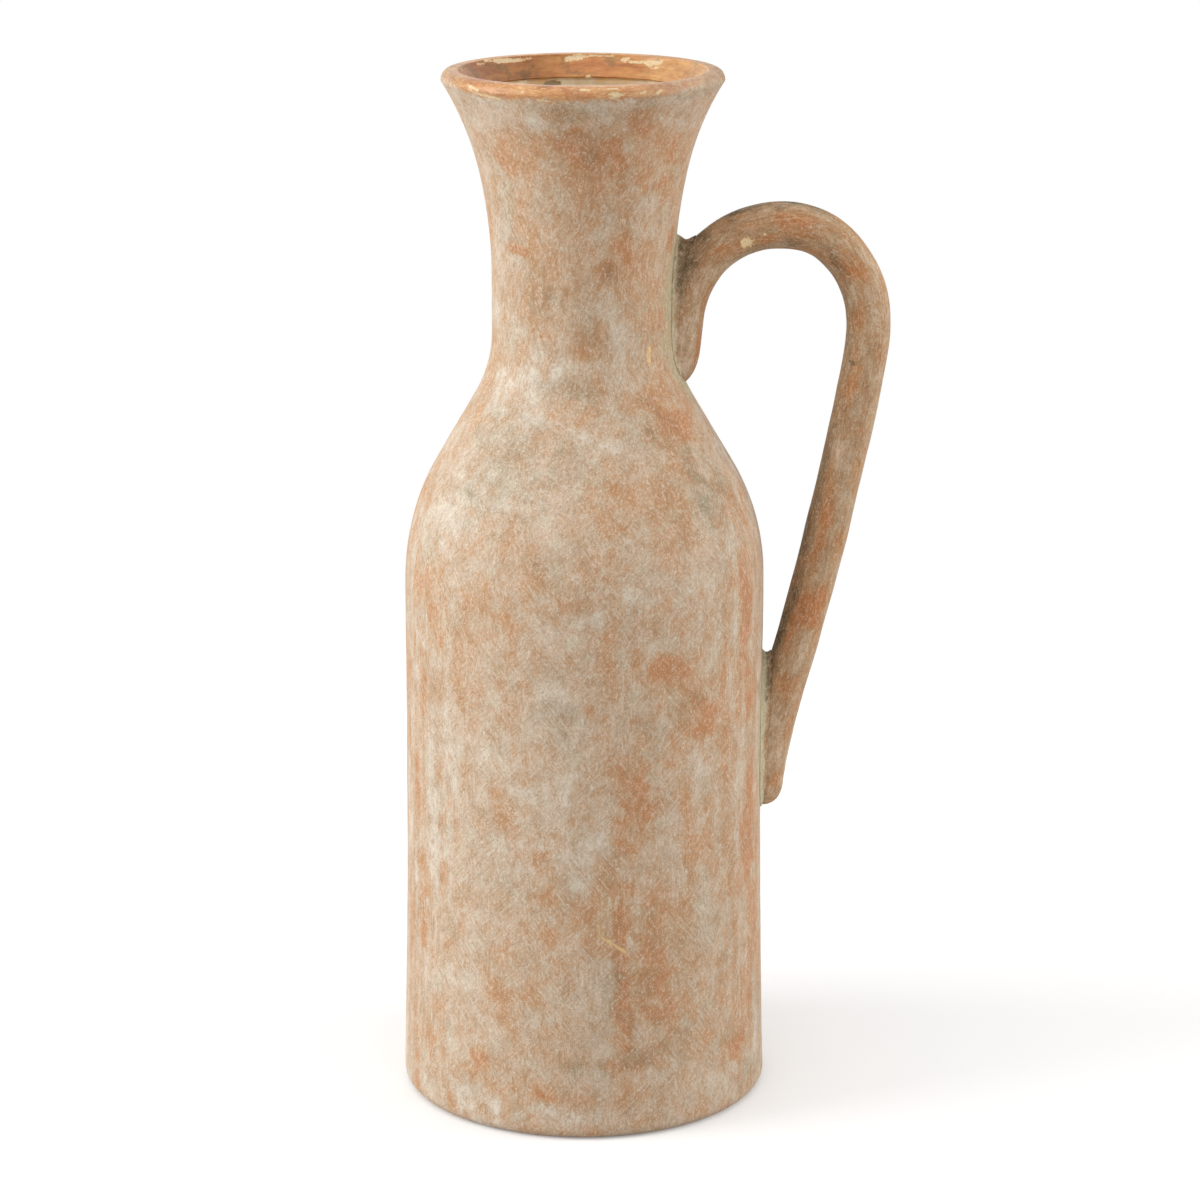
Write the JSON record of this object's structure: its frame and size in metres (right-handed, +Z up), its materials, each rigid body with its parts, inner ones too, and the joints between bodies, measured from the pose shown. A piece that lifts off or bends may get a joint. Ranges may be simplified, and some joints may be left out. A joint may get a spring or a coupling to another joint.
{
  "type": "stoneware jug",
  "caption": "Tall straight-sided earthen jug with a sloping shoulder, narrow neck, flared thick rim and one bow handle at the side.",
  "frame": {"origin": "centre of the flat base, on the vessel's axis, where it stands", "axes": "+Z up along the vessel's axis; +X from the axis towards the handle; +Y completes the right hand"},
  "size_m": [0.2348, 0.1782, 0.5],
  "materials": {
    "body": "matte unglazed clay under a brushed pale wash",
    "neck": "matte unglazed clay under a brushed pale wash",
    "rim": "thin satin orange glaze with pale worn chips",
    "handle": "matte browner clay under a thin brushed wash",
    "luting": "matte pale grey-green clay",
    "inside": "matte pale clay"
  },
  "bodies": {
    "root": {"body": "body", "neck": "neck", "rim_coil": "rim", "handle": "handle", "upper_luting": "luting", "lower_luting": "luting", "seam_coil": "inside"}
  },
  "joints": []
}
